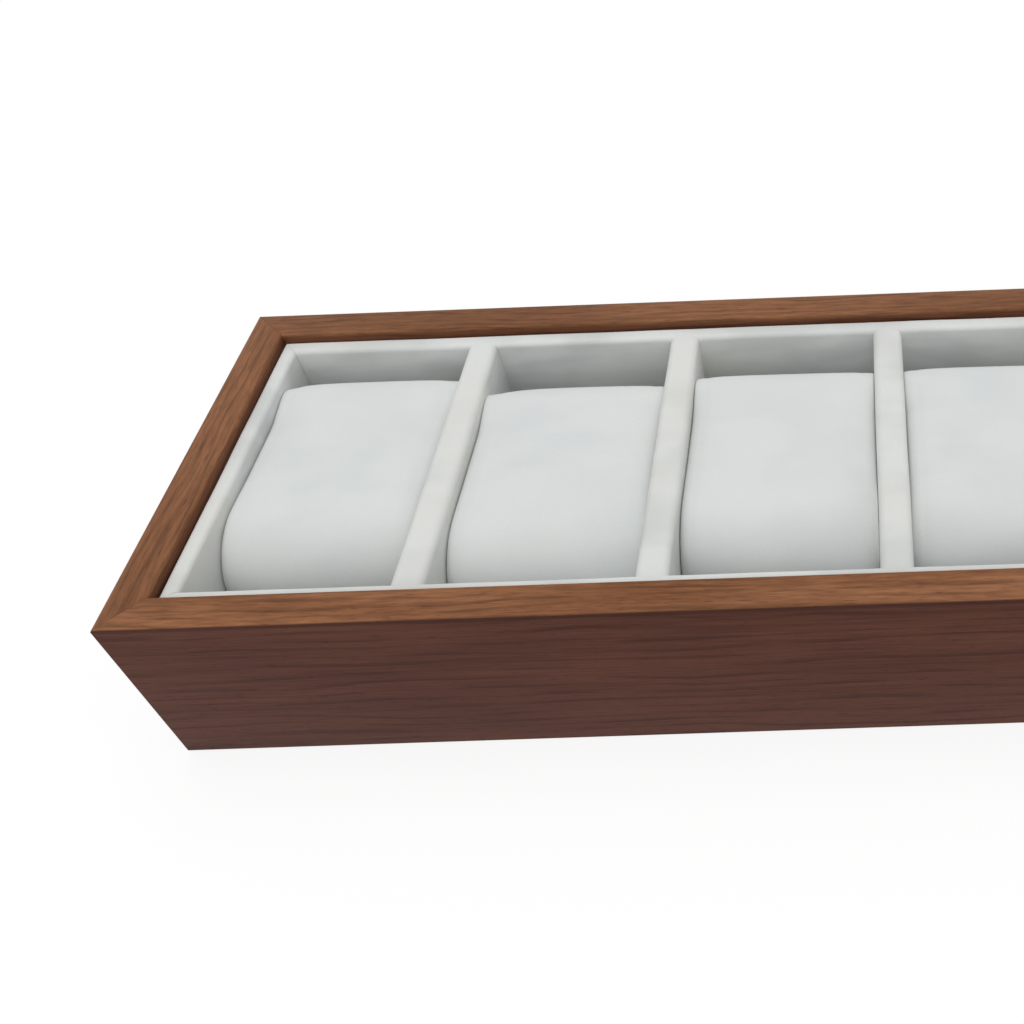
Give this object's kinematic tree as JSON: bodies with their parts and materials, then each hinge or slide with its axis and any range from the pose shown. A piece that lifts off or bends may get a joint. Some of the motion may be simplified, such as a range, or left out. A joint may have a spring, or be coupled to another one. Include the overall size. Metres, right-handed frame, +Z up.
{
  "type": "watch display tray",
  "caption": "Open wooden tray with mitred corners and a soft grey liner, whose dividers hold a row of pillows for wrist watches.",
  "frame": {"origin": "middle of the underside, where the tray rests", "axes": "+X along the tray's length, +Y from its front to its back, +Z up"},
  "size_m": [0.364, 0.115, 0.05],
  "materials": {
    "walnut_veneer": "satin open-pored walnut veneer on board, grain along each rail",
    "fibreboard": "raw fibreboard, hidden",
    "felt": "dense matt felt",
    "liner_microfibre": "pale grey suede-like microfibre wrapped over board",
    "pillow_microfibre": "pale grey suede-like microfibre over foam"
  },
  "bodies": {
    "root": {"front_rail": "walnut_veneer", "back_rail": "walnut_veneer", "left_rail": "walnut_veneer", "right_rail": "walnut_veneer", "base_panel": "fibreboard", "base_felt": "felt", "floor_lining": "liner_microfibre", "liner_front_wall": "liner_microfibre", "liner_back_wall": "liner_microfibre", "liner_left_wall": "liner_microfibre", "liner_right_wall": "liner_microfibre", "divider_1": "liner_microfibre", "divider_2": "liner_microfibre", "divider_3": "liner_microfibre", "divider_4": "liner_microfibre", "divider_5": "liner_microfibre", "pillow_1": "pillow_microfibre", "pillow_2": "pillow_microfibre", "pillow_3": "pillow_microfibre", "pillow_4": "pillow_microfibre", "pillow_5": "pillow_microfibre", "pillow_6": "pillow_microfibre"}
  },
  "joints": []
}
